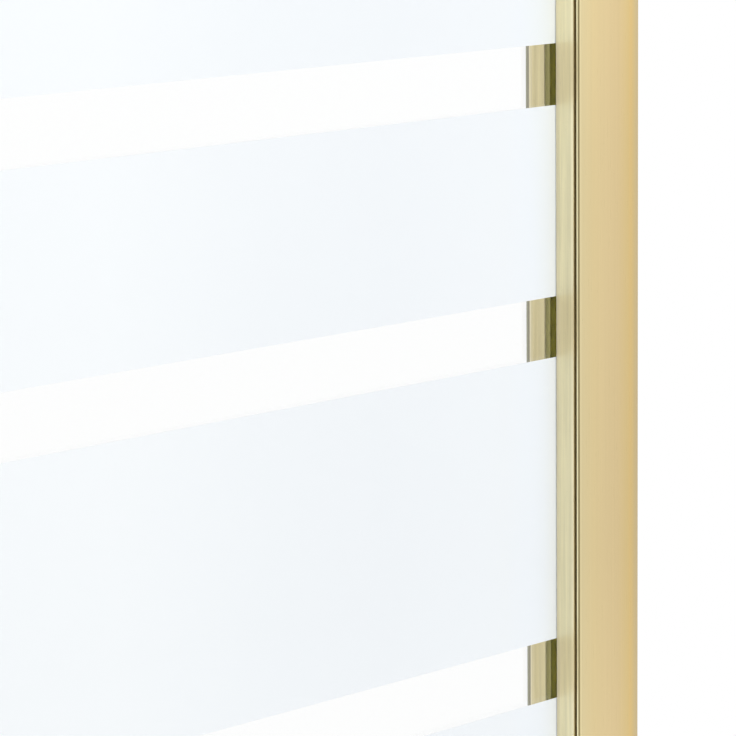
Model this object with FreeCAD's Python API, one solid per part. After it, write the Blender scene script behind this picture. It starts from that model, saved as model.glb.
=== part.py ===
import FreeCAD, Part
import math
import os

# A fixed bath screen: one pane with frosted bands, glazed into a profile that
# telescopes in a U-shaped wall channel.
# The wall is the plane x = 0 and the screen stands out from it along -X. The
# room is at -Y, the bath at +Y, and z = 0 is half way up the wall channel.
# The screen is drawn pushed fully in. All sizes are in millimetres.

# Overall size
screen_width = 800.0
screen_height = 1400.0

# Glass and what holds it in the profile
glass_thickness = 6.0
glass_arris = 0.6
glass_top_corner_radius = 30.0
glass_bottom_corner_radius = 5.0
glass_top_gap = 2.0
lip_clearance = 0.3
wedge_thickness = 2.3
edge_block_thickness = 2.5
edge_block_height = 40.0
edge_block_count = 3
rest_block_height = 6.0
block_side_clearance = 0.3
bearing_gap = 0.02

# Frosted bands, each taller than the band above it by the height of the first
band_count = 6
first_band_height = 39.0
band_gap = 25.0
band_foot_margin = 25.0
band_free_edge_margin = 2.0
band_tuck = 3.0
band_thickness = 0.15

# Glazing profile
profile_length = 33.6
profile_wall = 1.6
profile_stand_out = 0.1
lip_depth = 9.2
slot_depth = 18.0
room_nose_radius = 0.3
bath_nose_radius = 0.9
lip_edge_radius = 0.5
profile_back_radius = 0.5
chamber_radius = 0.5
rib_height = 1.0
rib_width = 1.6
rib_tip_radius = 0.25
rib_places = (22.5, 31.4)
slide_clearance = 0.2
port_bore = 2.9
port_wall = 1.2

# Gaskets
front_groove_start = 5.0
front_groove_width = 4.0
front_groove_depth = 2.0
wedge_groove_start = 4.0
wedge_groove_width = 3.0
wedge_groove_depth = 1.2
groove_floor = 1.3
gasket_fit = 0.1
wedge_setback = 0.3
wedge_length = 9.0
wedge_tail_thickness = 1.4

# Wall channel
channel_reach = 41.0
bath_leg_setback = 2.2
channel_wall = 1.4
channel_web = 2.0
leg_outer_radius = 1.0
leg_inner_radius = 0.2
channel_root_radius = 1.0
channel_back_radius = 0.4
drill_line_width = 1.6
drill_line_depth = 0.5
fixing_count = 4
fixing_bore = 5.5
fixing_end_distance = 67.0

# Channel caps
channel_cap_thickness = 3.0
channel_cap_rounding = 1.0
cap_running_gap = 1.0
tongue_thickness = 3.6
tongue_length = 14.0
tongue_clearance = 0.25

# Profile caps and their screws
profile_cap_thickness = 2.0
peg_length = 8.0
peg_clearance = 0.25
cap_screw_diameter = 2.7
cap_screw_head = 5.0
cap_screw_head_height = 1.2
cap_screw_length = 14.0
cap_screw_drive = 0.7

# Width adjustment and its locking screws
adjustment_travel = 20.0
locking_count = 3
locking_end_distance = 137.0
locking_setback = 28.6
locking_diameter = 4.0
locking_bore = 4.2
locking_slot_width = 4.8
locking_head_diameter = 8.0
locking_head_height = 2.4
locking_drive_width = 0.9
locking_drive_depth = 1.2
locking_reach = 2.0
locking_rail_depth = 3.4
locking_rail_margin = 3.2
washer_diameter = 10.0
washer_thickness = 1.2
washer_bore = 4.5
washer_clearance = 0.1
cover_diameter = 12.4
cover_wall = 1.0
cover_height = 5.2
cover_clearance = 0.3
cover_chamfer = 1.4

# Bottom seal
seal_wall = 1.0
seal_fit = 0.15
seal_clip_height = 12.0
seal_base = 1.2
seal_fin_thickness = 1.1
seal_fin_spread = 7.0
seal_profile_gap = 0.6
seal_edge_radius = 0.3

# How near an edge lies to a plane to be picked for an edge treatment
edge_tolerance = 0.001

# Places across the screen, along Y
slot_width = lip_clearance + glass_thickness + wedge_thickness
slot_half = slot_width / 2
glass_front = lip_clearance - slot_half
glass_back = glass_front + glass_thickness
profile_half = slot_half + lip_depth
leg_inside = profile_half + rib_height + slide_clearance
leg_outside = leg_inside + channel_wall

# Places along the screen, along X
mouth_x = -channel_reach - profile_stand_out
profile_back_x = mouth_x + profile_length
slot_floor_x = mouth_x + slot_depth
glass_edge_x = slot_floor_x - edge_block_thickness
free_edge_x = -screen_width
locking_x = mouth_x + locking_setback
chamber_y = profile_half - profile_wall
rear_chamber_x = slot_floor_x + profile_wall
port_radius = port_bore / 2 + port_wall
port_x = rear_chamber_x + port_bore / 2
port_y = chamber_y - port_bore / 2

# Heights, along Z
top_z = screen_height / 2
channel_top = top_z - channel_cap_thickness
profile_top = channel_top - cap_running_gap - profile_cap_thickness
glass_top = profile_top - glass_top_gap
glass_bottom = rest_block_height - profile_top
seal_bottom = -top_z


def on_plan(a, b):
    """Point of an outline drawn in plan, at height zero."""
    return FreeCAD.Vector(a, b, 0)


def on_side(a, b):
    """Point of an outline drawn across the glass, in the plane x = 0."""
    return FreeCAD.Vector(0, a, b)


def rounded_face(corners, place):
    """Face inside an outline of corners (a, b, radius), put in space by place."""
    points = [place(a, b) for a, b, _ in corners]
    edges = []
    joints = []
    for i, (_, _, radius) in enumerate(corners):
        here = points[i]
        back = (points[i - 1] - here).normalize()
        ahead = (points[(i + 1) % len(points)] - here).normalize()
        half = back.getAngle(ahead) / 2
        start = here + back * (radius / math.tan(half))
        end = here + ahead * (radius / math.tan(half))
        if radius:
            inward = (back + ahead).normalize()
            middle = here + inward * (radius / math.sin(half) - radius)
            edges.append(Part.Arc(start, middle, end).toShape())
        joints.append((start, end))
    for i, (start, _) in enumerate(joints):
        edges.append(Part.LineSegment(joints[i - 1][1], start).toShape())
    return Part.Face(Part.Wire(Part.__sortEdges__(edges)))


def upright(face, bottom, top):
    """Solid over a plan face between two heights."""
    solid = face.extrude(FreeCAD.Vector(0, 0, top - bottom))
    solid.translate(FreeCAD.Vector(0, 0, bottom))
    return solid


def block(x0, x1, y0, y1, z0, z1):
    """Box between two corners."""
    return Part.makeBox(x1 - x0, y1 - y0, z1 - z0, FreeCAD.Vector(x0, y0, z0))


def rectangle(x0, x1, y0, y1, radius):
    """Plan face of a rectangle with rounded corners."""
    corners = [(x0, y0, radius), (x1, y0, radius), (x1, y1, radius), (x0, y1, radius)]
    return rounded_face(corners, on_plan)


def spaced(count, end_distance, half_length):
    """Heights of evenly spaced copies, the outer two a set distance from the ends."""
    first = end_distance - half_length
    step = -2 * first / (count - 1)
    return [first + i * step for i in range(count)]


def revolve_along_y(profile, x, z):
    """Solid of revolution about a line along Y, from (radius, y) points."""
    points = [FreeCAD.Vector(x + radius, y, z) for radius, y in profile]
    face = Part.Face(Part.makePolygon(points + points[:1]))
    return face.revolve(FreeCAD.Vector(x, 0, z), FreeCAD.Vector(0, 1, 0), 360)


def channel_section():
    """Plan face of the U-shaped wall channel, with the drill line in its web."""
    bath_reach = bath_leg_setback - channel_reach
    return rounded_face([
        (-channel_reach, -leg_outside, leg_outer_radius),
        (0, -leg_outside, channel_back_radius),
        (0, leg_outside, channel_back_radius),
        (bath_reach, leg_outside, leg_outer_radius),
        (bath_reach, leg_inside, leg_inner_radius),
        (-channel_web, leg_inside, channel_root_radius),
        (-channel_web, drill_line_width / 2, 0),
        (drill_line_depth - channel_web, 0, 0),
        (-channel_web, -drill_line_width / 2, 0),
        (-channel_web, -leg_inside, channel_root_radius),
        (-channel_reach, -leg_inside, leg_inner_radius)], on_plan)


def locking_slot(z):
    """Cutter for the slot that one locking screw travels along, in the bath-side leg."""
    half = locking_slot_width / 2
    near, far = locking_x, locking_x - adjustment_travel
    y0, y1 = leg_inside - channel_wall, leg_outside + channel_wall
    along_y = FreeCAD.Vector(0, 1, 0)
    ends = [Part.makeCylinder(half, y1 - y0, FreeCAD.Vector(x, y0, z), along_y) for x in (near, far)]
    return block(far, near, y0, y1, z - half, z + half).multiFuse(ends).removeSplitter()


def wall_channel():
    """Extruded channel that is screwed to the wall."""
    body = upright(channel_section(), -channel_top, channel_top)
    bores = [Part.makeCylinder(fixing_bore / 2, 3 * channel_web, FreeCAD.Vector(-2 * channel_web, 0, z),
                               FreeCAD.Vector(1, 0, 0))
             for z in spaced(fixing_count, fixing_end_distance, channel_top)]
    slots = [locking_slot(z) for z in spaced(locking_count, locking_end_distance, channel_top)]
    return body.cut(bores + slots)


def channel_cap():
    """Upper cap of the channel: a plate over the section and a tongue behind the profile."""
    plate_face = rectangle(-channel_reach, 0, -leg_outside, leg_outside, leg_outer_radius)
    plate = upright(plate_face, channel_top, top_z)
    rim = [edge for edge in plate.Edges
           if edge.BoundBox.ZMin > top_z - edge_tolerance and edge.BoundBox.XMin < -channel_back_radius]
    plate = plate.makeFillet(channel_cap_rounding, rim)
    x1 = -channel_web - tongue_clearance
    y1 = leg_inside - channel_root_radius
    tongue = rectangle(x1 - tongue_thickness, x1, -y1, y1, chamber_radius)
    return plate.fuse(upright(tongue, channel_top - tongue_length, channel_top)).removeSplitter()


def turned_over(shape):
    """Mirror image of a shape in the plane z = 0."""
    return shape.mirror(FreeCAD.Vector(0, 0, 0), FreeCAD.Vector(0, 0, 1))


def ribbed_side(sign):
    """Corners of the slide ribs along one outer side of the profile."""
    corners = []
    for place in rib_places:
        x0 = mouth_x + place - rib_width / 2
        x1 = x0 + rib_width
        tip = profile_half + rib_height
        corners += [(x0, sign * profile_half, 0), (x0, sign * tip, rib_tip_radius),
                    (x1, sign * tip, rib_tip_radius), (x1, sign * profile_half, 0)]
    return corners


def groove(start, width, depth, sign):
    """Corners of a gasket groove in the slot's side, from the mouth inwards."""
    x0, x1 = mouth_x + start, mouth_x + start + width
    return [(x0, sign * slot_half, 0), (x0, sign * (slot_half + depth), 0),
            (x1, sign * (slot_half + depth), 0), (x1, sign * slot_half, 0)]


def profile_outline():
    """Plan face of the glazing profile without its hollow chambers."""
    room_side = ribbed_side(-1)
    bath_side = ribbed_side(1)
    wedge_groove = groove(wedge_groove_start, wedge_groove_width, wedge_groove_depth, 1)
    front_groove = groove(front_groove_start, front_groove_width, front_groove_depth, -1)
    corners = [(mouth_x, -profile_half, room_nose_radius)] + room_side
    corners += [(profile_back_x, -profile_half, profile_back_radius)]
    corners += [(profile_back_x, profile_half, profile_back_radius)] + bath_side[::-1]
    corners += [(mouth_x, profile_half, bath_nose_radius), (mouth_x, slot_half, lip_edge_radius)]
    corners += wedge_groove + [(slot_floor_x, slot_half, 0), (slot_floor_x, -slot_half, 0)]
    corners += front_groove[::-1] + [(mouth_x, -slot_half, lip_edge_radius)]
    return rounded_face(corners, on_plan)


def lip_chamber(sign, inset):
    """Plan face of the hollow in one lip, drawn in by an inset for the cap's peg."""
    inner = slot_half + max(front_groove_depth, wedge_groove_depth) + groove_floor + inset
    y0, y1 = sorted((sign * inner, sign * (chamber_y - inset)))
    return rectangle(mouth_x + profile_wall + inset, slot_floor_x - inset, y0, y1, chamber_radius)


def back_chamber():
    """Plan face of the hollow behind the slot, with the rail that the locking screws bite."""
    x1 = profile_back_x - profile_wall
    rail_x = locking_x - locking_rail_margin
    rail_y = chamber_y - locking_rail_depth
    return rounded_face([
        (rear_chamber_x, -chamber_y, chamber_radius), (x1, -chamber_y, chamber_radius),
        (x1, rail_y, chamber_radius), (rail_x, rail_y, chamber_radius),
        (rail_x, chamber_y, 0), (rear_chamber_x, chamber_y, chamber_radius)], on_plan)


def port_cylinders(radius, bottom, top):
    """The two screw ports' cylinders of a given radius."""
    return [Part.makeCylinder(radius, top - bottom, FreeCAD.Vector(port_x, y, bottom))
            for y in (-port_y, port_y)]


def glazing_profile():
    """Extruded profile that holds the glass and slides in the wall channel."""
    body = upright(profile_outline(), -profile_top, profile_top)
    hollows = [upright(face, -profile_top, profile_top)
               for face in (lip_chamber(-1, 0), lip_chamber(1, 0), back_chamber())]
    walls = port_cylinders(port_radius, -profile_top, profile_top)
    bores = port_cylinders(port_bore / 2, -profile_top, profile_top)
    bores += [Part.makeCylinder(locking_bore / 2, profile_half - locking_reach,
                                FreeCAD.Vector(locking_x, locking_reach, z), FreeCAD.Vector(0, 1, 0))
              for z in spaced(locking_count, locking_end_distance, channel_top)]
    return body.cut(hollows).multiFuse(walls).cut(bores).removeSplitter()


def profile_cap():
    """Upper cap of the profile, with a peg in each lip and two countersunk holes."""
    cap_z = profile_top + profile_cap_thickness
    plate = upright(rectangle(mouth_x, profile_back_x, -profile_half, profile_half, bath_nose_radius),
                    profile_top, cap_z)
    pegs = [upright(lip_chamber(sign, peg_clearance), profile_top - peg_length, profile_top)
            for sign in (-1, 1)]
    sinks = [cap_screw(y, peg_clearance / 2) for y in (-port_y, port_y)]
    return plate.multiFuse(pegs).cut(sinks).removeSplitter()


def cap_screw(y, ease):
    """Countersunk screw of a profile cap, grown by an ease to cut its own hole."""
    cap_z = profile_top + profile_cap_thickness
    shank, head = cap_screw_diameter / 2 + ease, cap_screw_head / 2 + ease
    outline = [(0, cap_z - cap_screw_length), (shank, cap_z - cap_screw_length),
               (shank, cap_z - cap_screw_head_height), (head, cap_z), (0, cap_z)]
    points = [FreeCAD.Vector(port_x + radius, y, z) for radius, z in outline]
    face = Part.Face(Part.makePolygon(points + points[:1]))
    return face.revolve(FreeCAD.Vector(port_x, y, 0), FreeCAD.Vector(0, 0, 1), 360)


def cap_screws():
    """The four screws of the two profile caps, with a cross recess in each head."""
    cap_z = profile_top + profile_cap_thickness
    arm, half = cap_screw_head / 4, cap_screw_drive / 2
    screws = []
    for y in (-port_y, port_y):
        floor_z = cap_z - cap_screw_head_height / 2
        cross = [block(port_x - arm, port_x + arm, y - half, y + half, floor_z, top_z),
                 block(port_x - half, port_x + half, y - arm, y + arm, floor_z, top_z)]
        screws.append(cap_screw(y, 0).cut(cross))
    return Part.Compound(screws + [turned_over(screw) for screw in screws])


def glass_pane():
    """Toughened pane with rounded free corners and a ground arris all round."""
    face = rounded_face([
        (free_edge_x, glass_bottom, glass_bottom_corner_radius), (glass_edge_x, glass_bottom, 0),
        (glass_edge_x, glass_top, 0), (free_edge_x, glass_top, glass_top_corner_radius)],
        lambda a, b: FreeCAD.Vector(a, glass_front, b))
    pane = face.extrude(FreeCAD.Vector(0, glass_thickness, 0))
    rim = [edge for edge in pane.Edges if edge.BoundBox.YLength < glass_thickness / 2]
    return pane.makeChamfer(glass_arris, rim)


def frosted_band(number):
    """Frosted layer number 1 to band_count, counted from the top, on the room side."""
    below = range(number + 1, band_count + 1)
    z0 = glass_bottom + band_foot_margin + sum(k * first_band_height + band_gap for k in below)
    return block(free_edge_x + band_free_edge_margin, mouth_x + band_tuck,
                 glass_front - bearing_gap - band_thickness, glass_front - bearing_gap,
                 z0, z0 + number * first_band_height)


def front_gasket():
    """Strip in the room-side lip's groove, bearing on the face of the glass."""
    x0 = mouth_x + front_groove_start + gasket_fit
    x1 = x0 + front_groove_width - 2 * gasket_fit
    y0 = -slot_half - front_groove_depth + gasket_fit
    y1 = glass_front - bearing_gap
    face = rounded_face([
        (x0, y0, 0), (x1, y0, 0), (x1, y1, lip_clearance / 2), (x0, y1, lip_clearance / 2)], on_plan)
    return upright(face, -profile_top, profile_top)


def wedge_gasket():
    """Wedge pushed in behind the glass, with a barb in the bath-side lip's groove."""
    x0 = mouth_x + wedge_setback
    x1 = x0 + wedge_length
    y0 = glass_back + bearing_gap
    tail_y = slot_half - wedge_tail_thickness
    bend_x = mouth_x + wedge_groove_start + wedge_groove_width
    barb_x0 = mouth_x + wedge_groove_start + gasket_fit
    barb_y = slot_half + wedge_groove_depth - gasket_fit
    face = rounded_face([
        (x0, y0, gasket_fit), (bend_x, y0, 0), (x1, tail_y, 0), (x1, slot_half, 0),
        (bend_x - gasket_fit, slot_half, 0), (bend_x - gasket_fit, barb_y, 0),
        (barb_x0, barb_y, 0), (barb_x0, slot_half, 0), (x0, slot_half, gasket_fit)], on_plan)
    return upright(face, -profile_top, profile_top)


def setting_blocks():
    """Blocks between the pane's edge and the floor of the slot."""
    y = slot_half - block_side_clearance
    centres = spaced(edge_block_count, locking_end_distance, glass_top)
    half = edge_block_height / 2
    return Part.Compound([block(glass_edge_x + bearing_gap, slot_floor_x, -y, y, z - half, z + half)
                          for z in centres])


def glass_rest_block():
    """Block at the foot of the slot that carries the pane's weight."""
    y = slot_half - block_side_clearance
    return block(mouth_x + wedge_setback + wedge_length + block_side_clearance,
                 slot_floor_x - block_side_clearance, -y, y, -profile_top, glass_bottom - bearing_gap)


def bottom_seal():
    """Clear strip clipped on the pane's lower edge, with a sealing fin and a drip fin."""
    front, back = glass_front - seal_fit, glass_back + seal_fit
    middle = (front + back) / 2
    clip_top = glass_bottom + seal_clip_height
    base_z = glass_bottom - seal_base
    seat_z = glass_bottom - bearing_gap
    half = seal_fin_thickness / 2
    face = rounded_face([
        (front - seal_wall, clip_top, seal_edge_radius), (front - seal_wall, base_z, seal_edge_radius),
        (middle - half, base_z, seal_edge_radius), (middle - half, seal_bottom, 0),
        (middle + half, seal_bottom, 0), (middle + half, base_z, seal_edge_radius),
        (back, base_z, seal_edge_radius), (back + seal_fin_spread - half, seal_bottom + seal_wall, 0),
        (back + seal_fin_spread + half, seal_bottom + seal_wall, 0),
        (back + seal_wall, base_z + seal_wall, seal_edge_radius),
        (back + seal_wall, clip_top, seal_edge_radius), (back, clip_top, seal_edge_radius),
        (back, seat_z, 0), (front, seat_z, 0), (front, clip_top, seal_edge_radius)],
        on_side)
    start = free_edge_x + glass_bottom_corner_radius
    strip = face.extrude(FreeCAD.Vector(mouth_x - seal_profile_gap - start, 0, 0))
    strip.translate(FreeCAD.Vector(start, 0, 0))
    return strip


def locking_screw(z):
    """Pan-head screw through the channel's slot into the profile's screw rail."""
    seat = leg_outside + washer_clearance + washer_thickness
    shank, head = locking_diameter / 2, locking_head_diameter / 2
    crown = seat + locking_head_height
    body = revolve_along_y([
        (0, locking_reach), (shank, locking_reach), (shank, seat), (head, seat),
        (head, crown - locking_head_height / 2), (head - locking_head_height / 2, crown),
        (0, crown)], locking_x, z)
    arm, half = locking_head_diameter / 4, locking_drive_width / 2
    floor_y = crown - locking_drive_depth
    cross = [block(locking_x - arm, locking_x + arm, floor_y, crown + arm, z - half, z + half),
             block(locking_x - half, locking_x + half, floor_y, crown + arm, z - arm, z + arm)]
    return body.cut(cross)


def locking_washer(z):
    """Flat washer between a locking screw's head and the channel's leg."""
    y0 = leg_outside + washer_clearance
    bore, rim = washer_bore / 2, washer_diameter / 2
    return revolve_along_y([(bore, y0), (rim, y0), (rim, y0 + washer_thickness),
                            (bore, y0 + washer_thickness)], locking_x, z)


def screw_cover(z):
    """Snap-on cap over a locking screw's head, gripping the washer's rim."""
    y0 = leg_outside + cover_clearance
    y1 = y0 + cover_height
    rim = cover_diameter / 2
    bore = rim - cover_wall
    return revolve_along_y([
        (bore, y0), (rim, y0), (rim, y1 - cover_chamfer), (rim - cover_chamfer, y1), (0, y1),
        (0, y1 - cover_wall), (bore, y1 - cover_wall)], locking_x, z)


def locking_set(make):
    """One copy of a locking piece at each locking height."""
    heights = spaced(locking_count, locking_end_distance, channel_top)
    return Part.Compound([make(z) for z in heights])


def all_nodes():
    """Every sub-part by name."""
    nodes = {
        "wall_channel": wall_channel(),
        "channel_top_cap": channel_cap(),
        "channel_foot_cap": turned_over(channel_cap()),
        "glazing_profile": glazing_profile(),
        "profile_top_cap": profile_cap(),
        "profile_foot_cap": turned_over(profile_cap()),
        "cap_screws": cap_screws(),
        "glass_pane": glass_pane(),
        "front_gasket": front_gasket(),
        "wedge_gasket": wedge_gasket(),
        "setting_blocks": setting_blocks(),
        "glass_rest_block": glass_rest_block(),
        "bottom_seal": bottom_seal(),
        "locking_screws": locking_set(locking_screw),
        "locking_washers": locking_set(locking_washer),
        "screw_covers": locking_set(screw_cover),
    }
    for number in range(1, band_count + 1):
        nodes[f"frosted_band_{number}"] = frosted_band(number)
    return nodes


os.makedirs("parts", exist_ok=True)
for name, shape in all_nodes().items():
    shape.exportStep(f"parts/{name}.step")
    print(name, len(shape.Solids), "solids", round(shape.Volume / 1000, 2), "cm3", shape.isValid())
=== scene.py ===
import bpy
import math
from mathutils import Matrix, Vector


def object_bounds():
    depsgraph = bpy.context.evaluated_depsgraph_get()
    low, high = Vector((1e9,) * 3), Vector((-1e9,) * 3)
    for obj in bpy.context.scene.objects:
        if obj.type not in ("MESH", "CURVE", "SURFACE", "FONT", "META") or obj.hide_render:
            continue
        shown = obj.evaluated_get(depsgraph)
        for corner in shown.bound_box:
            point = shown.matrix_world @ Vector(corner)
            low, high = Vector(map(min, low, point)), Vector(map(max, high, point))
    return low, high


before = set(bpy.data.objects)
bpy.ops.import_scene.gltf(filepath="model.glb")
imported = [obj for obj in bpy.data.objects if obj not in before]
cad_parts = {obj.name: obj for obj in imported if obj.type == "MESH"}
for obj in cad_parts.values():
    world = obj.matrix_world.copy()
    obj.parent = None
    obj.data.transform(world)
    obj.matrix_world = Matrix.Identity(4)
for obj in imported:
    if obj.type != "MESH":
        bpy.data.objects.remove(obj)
cad_box = [list(corner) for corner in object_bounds()]

# Lengths are in metres and colours are linear. A tone is a list of places and colours, and
# the ends of a range are a pair. A grain is the number of its features in a metre along X,
# Y and Z, and a relief is the strength and the depth of a bump.

# Camera, solved from the edges of the bands and of the metal in the photograph
camera_place = Vector((-1.4662, -1.0689, 0.3691))
camera_heading = math.radians(39.230)
camera_dip = math.radians(8.292)
camera_roll = math.radians(-0.453)
camera_lens = 215.3
sensor_width = 36.0

# Tone of the wall channel along X, with painted light: pale painted highlights and a painted dark
# band across the rounded mouth, a painted warm reflection that grows towards the wall, and
# painted shade in a greyer line where it meets the wall
channel_tones_with_painted_light = (
    (-0.0410, (0.980, 0.880, 0.550)),
    (-0.0409, (0.760, 0.630, 0.320)),
    (-0.0407, (0.560, 0.460, 0.220)),
    (-0.0405, (0.560, 0.460, 0.220)),
    (-0.0403, (0.850, 0.730, 0.420)),
    (-0.0400, (0.850, 0.730, 0.415)),
    (-0.0392, (0.773, 0.645, 0.357)),
    (-0.0310, (0.788, 0.631, 0.331)),
    (-0.0226, (0.781, 0.616, 0.328)),
    (-0.0143, (0.757, 0.588, 0.308)),
    (-0.0075, (0.750, 0.568, 0.258)),
    (-0.0053, (0.770, 0.557, 0.230)),
    (-0.0036, (0.715, 0.540, 0.245)),
    (-0.0015, (0.650, 0.515, 0.280)),
)

# The same for its bath-side leg, with painted shade in a grey band at its end, and where along Y it
# takes over
bath_leg_tones_with_painted_shade = (
    (-0.0389, (0.420, 0.430, 0.320)),
    (-0.0384, (0.420, 0.430, 0.320)),
    (-0.0381, (0.773, 0.645, 0.357)),
    (-0.0143, (0.757, 0.588, 0.308)),
    (-0.0015, (0.740, 0.580, 0.300)),
)
bath_leg_start = (0.0, 0.001)

# Tone of the glazing profile along Y, with painted light: a warmer painted reflection in the seam,
# a painted highlight line along each outer edge, painted shade that dulls it beside the glass
# and painted shade in a grey band along the bath-side edge
profile_tones_with_painted_light = (
    (-0.01350, (0.950, 0.800, 0.420)),
    (-0.01330, (0.900, 0.780, 0.450)),
    (-0.01290, (0.940, 0.840, 0.560)),
    (-0.01230, (0.940, 0.840, 0.560)),
    (-0.01190, (0.820, 0.740, 0.475)),
    (-0.00700, (0.815, 0.735, 0.475)),
    (-0.00500, (0.750, 0.675, 0.465)),
    (-0.00470, (0.690, 0.640, 0.490)),
    (-0.00430, (0.690, 0.640, 0.490)),
    (-0.00420, (0.765, 0.690, 0.443)),
    (0.01155, (0.765, 0.690, 0.443)),
    (0.01170, (0.920, 0.860, 0.640)),
    (0.01205, (0.920, 0.860, 0.640)),
    (0.01225, (0.400, 0.370, 0.280)),
    (0.01340, (0.400, 0.370, 0.280)),
    (0.01347, (0.765, 0.690, 0.443)),
)

# Slow change of both extrusions' tone along Z
height_tones = (
    (-0.045, (1.000, 1.000, 1.000)),
    (0.030, (0.945, 0.945, 0.945)),
    (0.090, (0.945, 0.945, 0.945)),
    (0.200, (0.975, 0.975, 0.975)),
    (0.260, (1.030, 1.030, 1.030)),
)

# Brushing of the extrusions: the width of its streaks, how often they change along Z, and
# how far they and a soft cloud shade the metal
channel_brushing = (0.0004, 7.0, 0.15)
profile_brushing = (0.0014, 20.0, 0.60)
streak_detail = 3.0
streak_roughness = 0.6
streak_share = 0.7
soft_grain = (60.0, 60.0, 5.0)
fine_grain = (9000.0, 9000.0, 60.0)
extrusion_metallic = 0.86
extrusion_roughness = (0.24, 0.36)
extrusion_relief = (0.12, 0.00002)

# Frosted layer: its tone along X, whose rises and falls are painted light and which is painted
# lighter and bluer beside the profile against the lip's shade, how that painted light grows along
# Z, its cloud and its etched grain
frost_tones_with_painted_light = (
    (-0.500, (0.885, 0.917, 0.943)),
    (-0.311, (0.906, 0.936, 0.957)),
    (-0.222, (0.878, 0.911, 0.939)),
    (-0.150, (0.869, 0.902, 0.932)),
    (-0.075, (0.884, 0.919, 0.950)),
    (-0.050, (0.889, 0.938, 1.000)),
)
frost_painted_light_levels = (0.985, 1.035)
frost_heights = (0.03, 0.28)
frost_cloud = (5.0, 5.0, 5.0)
frost_cloud_spread = 0.02
frost_grain = (2500.0, 2500.0, 2500.0)
frost_detail = 3.0
frost_roughness = (0.50, 0.62)
frost_relief = (0.06, 0.00002)
frost_specular = 0.3

# Gaskets: their tone along X, from an outer edge to the face on the glass, with painted light that
# lightens them deeper in the slot, painted shade that darkens them along Y where they meet the
# metal, and the lines of their extrusion
gasket_tones_with_painted_light = (
    (-0.0412, (0.300, 0.268, 0.080)),
    (-0.0407, (0.300, 0.268, 0.080)),
    (-0.0400, (0.250, 0.225, 0.015)),
    (-0.0391, (0.390, 0.355, 0.035)),
    (-0.0370, (0.600, 0.530, 0.070)),
)
gasket_painted_shade_levels = (1.0, 0.78)
gasket_seam = (0.0027, 0.0033)
gasket_lines = (4000.0, 4000.0, 20.0)
gasket_roughness = (0.45, 0.60)
gasket_relief = (0.15, 0.00003)

# Glass: clear through its faces, with the faint waves of its rollers, and ground where its
# normal turns away from Y
glass_clear = (0.995, 1.000, 0.998)
glass_green = (0.340, 0.510, 0.445)
glass_turn = (0.4, 0.6)
glass_roughness = (0.0, 0.45)
glass_transmission = (1.0, 0.3)
glass_ior = 1.52
glass_waves = (3.0, 3.0, 14.0)
glass_waves_detail = 1.0
glass_relief = (0.05, 0.00002)

# Clear flexible plastic
seal_clear = (0.980, 0.990, 0.985)
seal_lines = (20.0, 3000.0, 3000.0)
seal_roughness = (0.10, 0.22)
seal_transmission = 0.85
seal_ior = 1.45
seal_relief = (0.10, 0.00003)

# Pieces of one colour
cap_finish = {
    "colour": (0.760, 0.610, 0.350), "grain": (1500.0, 1500.0, 1500.0), "detail": 3.0,
    "metallic": 0.9, "roughness": (0.34, 0.44), "relief": (0.10, 0.00003)}
screw_finish = {
    "colour": (0.600, 0.590, 0.560), "grain": (400.0, 6000.0, 400.0), "detail": 2.0,
    "metallic": 1.0, "roughness": (0.18, 0.32), "relief": (0.10, 0.00002)}
block_finish = {
    "colour": (0.420, 0.420, 0.400), "grain": (1200.0, 1200.0, 1200.0), "detail": 3.0,
    "metallic": 0.0, "roughness": (0.50, 0.65), "relief": (0.12, 0.00003)}

# Parts of a spread that lie below and above the plain colour
spread_below = 0.55
spread_above = 0.45

# World as surfaces scatter it: its level, how far it leans towards -X and rises with Z, and
# its gain on what lies behind glass
diffuse_level = 1.0
diffuse_lean = 0.40
diffuse_rise = 0.30
glass_gain = 1.40

# World as metal mirrors it: dimmer below the horizon and in two patches, and tinted in a
# third. A patch has a direction, and the two cosines between which it fades in
low_level = 0.92
low_heights = (-0.175, -0.05)
dim_patches = (
    (((-0.78, -0.62, 0.10), 0.55, 0.92), 0.22),
    (((0.35, 1.00, -0.10), 0.55, 0.75), 0.30),
)
tinted_patch = ((-0.78, 0.62, -0.14), 0.60, 0.95)
side_tint = (0.920, 0.885, 0.785)
white = (1.0, 1.0, 1.0)

# Parts no bounces from one or more
half_bounce = 0.5

# Floor
floor_colour = (0.860, 0.860, 0.850)
floor_roughness = 0.7
floor_specular = 0.2
floor_sides = 128
floor_radius = 1.5
floor_fade = 0.5


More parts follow.
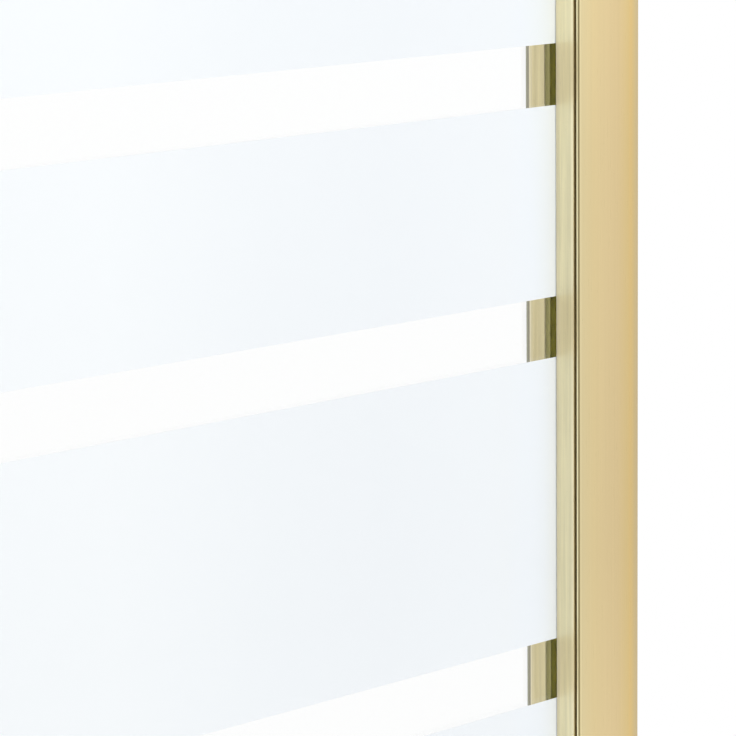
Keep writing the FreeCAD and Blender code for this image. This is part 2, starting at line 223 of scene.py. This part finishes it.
class Graph:
    """A node tree being built, with short calls to add and join its nodes."""

    def __init__(self, tree):
        self.nodes = tree.nodes
        self.links = tree.links
        self.nodes.clear()

    def add(self, kind, inputs=None, **settings):
        """New node with its settings, and inputs given as values or as sockets."""
        node = self.nodes.new(kind)
        for name, value in settings.items():
            setattr(node, name, value)
        for name, value in (inputs or {}).items():
            self.set(node.inputs[name], value)
        return node

    def set(self, socket, value):
        """Gives an input a value, or joins it to an output."""
        if isinstance(value, bpy.types.NodeSocket):
            self.links.new(value, socket)
        else:
            socket.default_value = value

    def place(self, scale):
        """Object coordinates stretched by a scale for each axis."""
        source = self.add("ShaderNodeTexCoord").outputs["Object"]
        return self.add("ShaderNodeMapping", {"Vector": source, "Scale": scale}).outputs[0]

    def noise(self, grain, detail=2.0, roughness=0.5):
        """Noise value, 0 to 1, of a grain."""
        return self.add("ShaderNodeTexNoise", {
            "Vector": self.place(grain), "Scale": 1.0,
            "Detail": detail, "Roughness": roughness}).outputs["Fac"]

    def spread(self, value, low, high, start=0.0, end=1.0, kind="LINEAR"):
        """Value mapped from start..end to low..high."""
        return self.add("ShaderNodeMapRange", {
            "Value": value, "From Min": start, "From Max": end,
            "To Min": low, "To Max": high}, interpolation_type=kind).outputs["Result"]

    def math(self, operation, first, second=0.0):
        """Result of an operation on one or two values."""
        return self.add("ShaderNodeMath", {0: first, 1: second}, operation=operation).outputs[0]

    def mix(self, factor, first, second, blend="MIX"):
        """Colour between or over two others."""
        node = self.add("ShaderNodeMix", data_type="RGBA", blend_type=blend,
                        clamp_result=blend == "MULTIPLY")
        for name, value in (("Factor", factor), ("A", first), ("B", second)):
            socket = next(s for s in node.inputs if s.name == name and s.enabled)
            self.set(socket, (*value, 1.0) if isinstance(value, tuple) else value)
        return next(s for s in node.outputs if s.enabled)

    def ramp(self, value, stops):
        """Colour at a value, from (value, colour) stops."""
        start, end = stops[0][0], stops[-1][0]
        node = self.add("ShaderNodeValToRGB", {"Fac": self.spread(value, 0.0, 1.0, start, end)})
        elements = node.color_ramp.elements
        while len(elements) < len(stops):
            elements.new(1.0)
        for element, (at, colour) in zip(elements, stops):
            element.position = (at - start) / (end - start)
            element.color = (*colour, 1.0)
        return node.outputs["Color"]

    def axes(self, vector=None):
        """Parts X, Y and Z of a vector, or else of the object coordinates."""
        source = self.place((1.0, 1.0, 1.0)) if vector is None else vector
        return self.add("ShaderNodeSeparateXYZ", {0: source}).outputs

    def grey(self, value):
        """Grey of a value."""
        return self.add("ShaderNodeCombineXYZ", {0: value, 1: value, 2: value}).outputs[0]

    def bump(self, height, strength, distance):
        """Normal from a height."""
        inputs = {"Height": height, "Strength": strength, "Distance": distance}
        return self.add("ShaderNodeBump", inputs).outputs["Normal"]


def surface(name, build):
    """Material whose principled shader gets the inputs that build(graph) returns."""
    material = bpy.data.materials.new(name)
    material.use_nodes = True
    graph = Graph(material.node_tree)
    shader = graph.add("ShaderNodeBsdfPrincipled", build(graph))
    graph.add("ShaderNodeOutputMaterial", {"Surface": shader.outputs[0]})
    return material


def shaded(graph, colour, amount, spread=0.15):
    """Colour made darker and lighter, within a spread, by an amount that runs from 0 to 1."""
    dark, light = 1.0 - spread_below * spread, 1.0 + spread_above * spread
    return graph.mix(1.0, colour, graph.grey(graph.spread(amount, dark, light)), "MULTIPLY")


def channel_tone(graph, axes):
    """Tone of the wall channel, with painted light, and painted shade on the end of its bath-side
    leg.
    """
    bath_side = graph.spread(axes["Y"], 0.0, 1.0, *bath_leg_start)
    # Both ramps carry painted highlights, a painted reflection and painted shade
    return graph.mix(bath_side, graph.ramp(axes["X"], channel_tones_with_painted_light),
                     graph.ramp(axes["X"], bath_leg_tones_with_painted_shade))


def profile_tone(graph, axes):
    """Tone of the glazing profile, with painted highlights, a painted reflection and painted shade.
    """
    return graph.ramp(axes["Y"], profile_tones_with_painted_light)


def brushed(tone_at, streak_width, streak_rate, spread):
    """Anodised extrusion, brushed along its length, with tones that carry painted light."""
    def build(graph):
        axes = graph.axes()
        tone = graph.mix(1.0, tone_at(graph, axes), graph.ramp(axes["Z"], height_tones), "MULTIPLY")
        across = 1.0 / streak_width
        streaks = graph.noise((across, across, streak_rate), streak_detail, streak_roughness)
        soft = graph.math("MULTIPLY", graph.noise(soft_grain), 1.0 - streak_share)
        grain = graph.math("ADD", graph.math("MULTIPLY", streaks, streak_share), soft)
        return {
            "Base Color": shaded(graph, tone, grain, spread),
            "Metallic": extrusion_metallic,
            "Roughness": graph.spread(graph.noise(fine_grain), *extrusion_roughness),
            "Normal": graph.bump(streaks, *extrusion_relief),
        }
    return build


def plain(colour, grain, detail, metallic, roughness, relief):
    """Piece of one colour with a fine grain."""
    def build(graph):
        marks = graph.noise(grain, detail)
        return {
            "Base Color": shaded(graph, colour, marks),
            "Metallic": metallic,
            "Roughness": graph.spread(marks, *roughness),
            "Normal": graph.bump(marks, *relief),
        }
    return build


def clear_glass(graph):
    """Toughened float glass with green ground edges."""
    normal = graph.add("ShaderNodeTexCoord").outputs["Normal"]
    edge = graph.spread(graph.math("ABSOLUTE", graph.axes(normal)["Y"]), 1.0, 0.0, *glass_turn)
    waves = graph.noise(glass_waves, glass_waves_detail)
    return {
        "Base Color": graph.mix(edge, glass_clear, glass_green),
        "Roughness": graph.spread(edge, *glass_roughness),
        "IOR": glass_ior,
        "Transmission Weight": graph.spread(edge, *glass_transmission),
        "Normal": graph.bump(waves, *glass_relief),
    }


def frosted(graph):
    """Frosted layer with a fine etched grain, slightly cloudy, and with painted light: lighter and
    bluer beside the profile, and lighter towards the top.
    """
    axes = graph.axes()
    # Painted light: the layer grows lighter towards the top, and its tone along X carries painted
    # light
    height = graph.grey(graph.spread(axes["Z"], *frost_painted_light_levels, *frost_heights))
    tone = graph.mix(1.0, graph.ramp(axes["X"], frost_tones_with_painted_light), height, "MULTIPLY")
    grain = graph.noise(frost_grain, frost_detail)
    return {
        "Base Color": shaded(graph, tone, graph.noise(frost_cloud), frost_cloud_spread),
        "Roughness": graph.spread(grain, *frost_roughness),
        "Specular IOR Level": frost_specular,
        "Normal": graph.bump(grain, *frost_relief),
    }


def olive_gasket(graph):
    """Extruded rubber, ribbed faintly along its length, with painted shade where it meets the metal
    and painted light along X.
    """
    axes = graph.axes()
    # Painted shade: darker along Y where the gasket meets the metal
    seam = graph.grey(graph.spread(axes["Y"], *gasket_painted_shade_levels, *gasket_seam))
    tone = graph.mix(1.0, graph.ramp(axes["X"], gasket_tones_with_painted_light), seam, "MULTIPLY")
    lines = graph.noise(gasket_lines)
    return {
        "Base Color": shaded(graph, tone, lines),
        "Roughness": graph.spread(lines, *gasket_roughness),
        "Normal": graph.bump(lines, *gasket_relief),
    }


def clear_seal(graph):
    """Flexible clear strip, slightly milky."""
    lines = graph.noise(seal_lines)
    return {
        "Base Color": (*seal_clear, 1.0),
        "Roughness": graph.spread(lines, *seal_roughness),
        "IOR": seal_ior,
        "Transmission Weight": seal_transmission,
        "Normal": graph.bump(lines, *seal_relief),
    }


def dress(name, build, *nodes):
    """Gives CAD nodes a new material."""
    material = surface(name, build)
    for node in nodes:
        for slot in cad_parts[node].material_slots:
            slot.material = material


def dress_all():
    """Gives every CAD node its finish."""
    bands = [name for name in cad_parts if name.startswith("frosted_band_")]
    dress("channel_brushed_gold", brushed(channel_tone, *channel_brushing), "wall_channel")
    dress("profile_brushed_gold", brushed(profile_tone, *profile_brushing), "glazing_profile")
    dress("satin_gold_cap", plain(**cap_finish), "channel_top_cap", "channel_foot_cap",
          "profile_top_cap", "profile_foot_cap", "screw_covers")
    dress("bright_screw_steel", plain(**screw_finish), "cap_screws", "locking_screws",
          "locking_washers")
    dress("clear_float_glass", clear_glass, "glass_pane")
    dress("frosted_layer", frosted, *bands)
    dress("olive_gasket", olive_gasket, "front_gasket", "wedge_gasket")
    dress("spacer_plastic", plain(**block_finish), "setting_blocks", "glass_rest_block")
    dress("clear_seal", clear_seal, "bottom_seal")


def add_camera():
    """Camera at the photograph's viewing angle."""
    level = Vector((math.sin(camera_heading), -math.cos(camera_heading), 0.0))
    ahead = Vector((math.cos(camera_dip) * math.cos(camera_heading),
                    math.cos(camera_dip) * math.sin(camera_heading), -math.sin(camera_dip)))
    above = level.cross(ahead)
    right = math.cos(camera_roll) * level + math.sin(camera_roll) * above
    up = math.cos(camera_roll) * above - math.sin(camera_roll) * level
    data = bpy.data.cameras.new("camera")
    data.lens = camera_lens
    data.sensor_width = sensor_width
    camera = bpy.data.objects.new("camera", data)
    turn = Matrix((right, up, -ahead)).transposed().to_4x4()
    camera.matrix_world = Matrix.Translation(camera_place) @ turn
    bpy.context.collection.objects.link(camera)
    bpy.context.scene.camera = camera


def in_patch(graph, direction, aim, start, end):
    """How far a direction lies towards an aim: 0 at cosine start, 1 at cosine end."""
    dot = graph.add("ShaderNodeVectorMath", {0: direction, 1: Vector(aim).normalized()},
                    operation="DOT_PRODUCT").outputs["Value"]
    return graph.spread(dot, 0.0, 1.0, start, end, "SMOOTHSTEP")


def scattered_world(graph, axes, path):
    """Level of the world as surfaces scatter it."""
    level = graph.spread(axes["X"], diffuse_level + diffuse_lean, diffuse_level - diffuse_lean,
                         -1.0, 1.0)
    level = graph.math("ADD", level, graph.math("MULTIPLY", axes["Z"], diffuse_rise))
    gain = graph.spread(path["Is Transmission Ray"], 1.0, glass_gain)
    return graph.math("MULTIPLY", level, gain)


def mirrored_world(graph, direction, axes):
    """Colour of the world as metal mirrors it."""
    level = graph.spread(axes["Z"], low_level, 1.0, *low_heights, "SMOOTHSTEP")
    for patch, dimmed in dim_patches:
        dimming = graph.spread(in_patch(graph, direction, *patch), 1.0, dimmed)
        level = graph.math("MULTIPLY", level, dimming)
    tint = graph.mix(in_patch(graph, direction, *tinted_patch), white, side_tint)
    return graph.mix(1.0, graph.grey(level), tint, "MULTIPLY")


def add_studio():
    """White surroundings, in which metal also mirrors a few darker parts of the room."""
    world = bpy.data.worlds.new("studio")
    world.use_nodes = True
    bpy.context.scene.world = world
    graph = Graph(world.node_tree)
    direction = graph.add("ShaderNodeTexCoord").outputs["Generated"]
    axes = graph.axes(direction)
    path = graph.add("ShaderNodeLightPath").outputs
    reflected = graph.math("GREATER_THAN", path["Glossy Depth"], half_bounce)
    unscattered = graph.math("LESS_THAN", path["Diffuse Depth"], half_bounce)
    seen = graph.math("MAXIMUM", path["Is Camera Ray"], path["Is Transmission Ray"])
    seen = graph.math("MAXIMUM", seen, path["Is Glossy Ray"])
    seen = graph.math("MULTIPLY", seen, unscattered)
    shown = graph.mix(reflected, white, mirrored_world(graph, direction, axes))
    light = graph.mix(seen, graph.grey(scattered_world(graph, axes, path)), shown)
    sky = graph.add("ShaderNodeBackground", {"Color": light, "Strength": 1.0})
    graph.add("ShaderNodeOutputWorld", {"Surface": sky.outputs[0]})


def pale_floor(graph):
    """Matt floor that fades out at its rim."""
    source = graph.add("ShaderNodeTexCoord").outputs["Object"]
    distance = graph.add("ShaderNodeVectorMath", {0: source}, operation="LENGTH").outputs["Value"]
    return {
        "Base Color": (*floor_colour, 1.0),
        "Roughness": floor_roughness,
        "Specular IOR Level": floor_specular,
        "Alpha": graph.spread(distance, 1.0, 0.0, floor_radius - floor_fade, floor_radius,
                              "SMOOTHSTEP"),
    }


def add_floor():
    """Round floor under the screen."""
    low, high = (Vector(corner) for corner in cad_box)
    centre = (low + high) / 2
    bpy.ops.mesh.primitive_circle_add(vertices=floor_sides, radius=floor_radius,
                                      fill_type="NGON", location=(centre.x, centre.y, low.z))
    floor = bpy.context.object
    floor.name = "floor"
    floor.data.materials.append(surface("pale_floor", pale_floor))


bpy.context.scene.view_settings.view_transform = "Standard"
dress_all()
add_studio()
add_floor()
add_camera()
